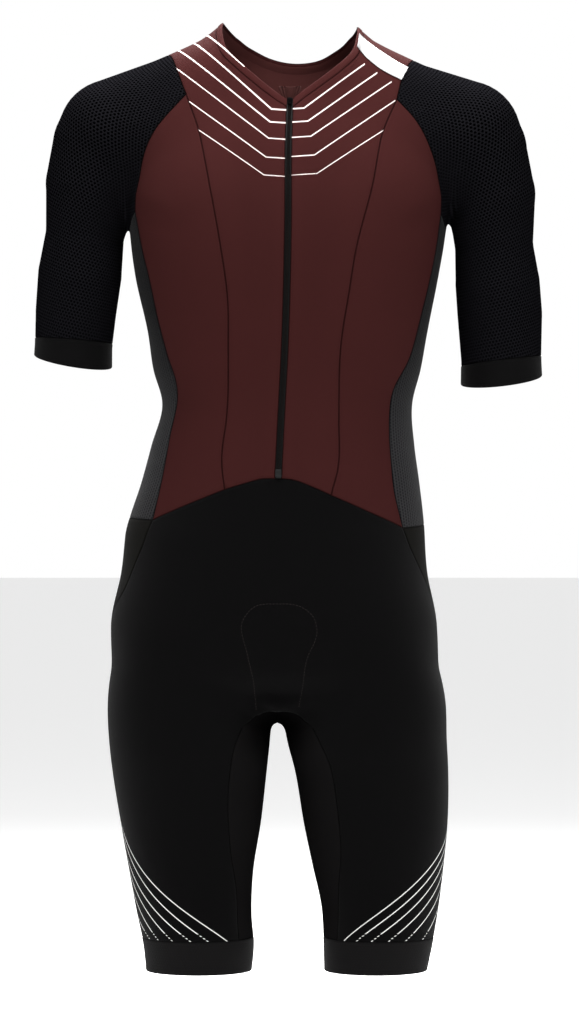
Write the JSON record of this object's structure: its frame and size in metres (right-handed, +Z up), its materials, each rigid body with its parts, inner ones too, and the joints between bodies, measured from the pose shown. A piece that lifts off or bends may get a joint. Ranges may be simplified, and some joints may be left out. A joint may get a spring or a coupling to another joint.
{
  "type": "triathlon suit",
  "caption": "Short-sleeved triathlon suit with thigh-length legs and a front zip, hollow and held in its worn form.",
  "frame": {"origin": "between the shoulders, level with the shoulder line, where the suit hangs on its wearer; 13 mm below its highest point", "axes": "+Z up towards the neck; the front and its zip face -Y; +X is the wearer's left"},
  "size_m": [0.5115, 0.2436, 0.9488],
  "materials": {
    "maroon": "smooth stretch knit, faint sheen",
    "black": "smooth stretch knit, grey sheen where it turns away",
    "knit": "textured open knit, matte",
    "mesh": "raised hexagon mesh knit, matte",
    "band": "doubled plain knit with gripper",
    "white": "plain printed tape",
    "zip": "moulded coil on woven tape",
    "metal": "dark coated metal"
  },
  "bodies": {
    "root": {"back": "maroon", "cuff_left": "band", "cuff_right": "band", "front_centre_left": "maroon", "front_centre_right": "maroon", "front_side_left": "maroon", "front_side_right": "maroon", "inner_leg_left": "black", "inner_leg_right": "black", "leg_band_left": "band", "leg_band_right": "band", "neck_binding": "maroon", "shorts_back_left": "black", "shorts_back_right": "black", "shorts_front": "black", "shoulder_tape": "white", "side_panel_left": "knit", "side_panel_right": "knit", "sleeve_left": "mesh", "sleeve_right": "mesh", "zip_coil": "zip", "zip_slider": "metal", "zip_stop": "metal", "zip_tape_left": "zip", "zip_tape_right": "zip"}
  },
  "joints": []
}
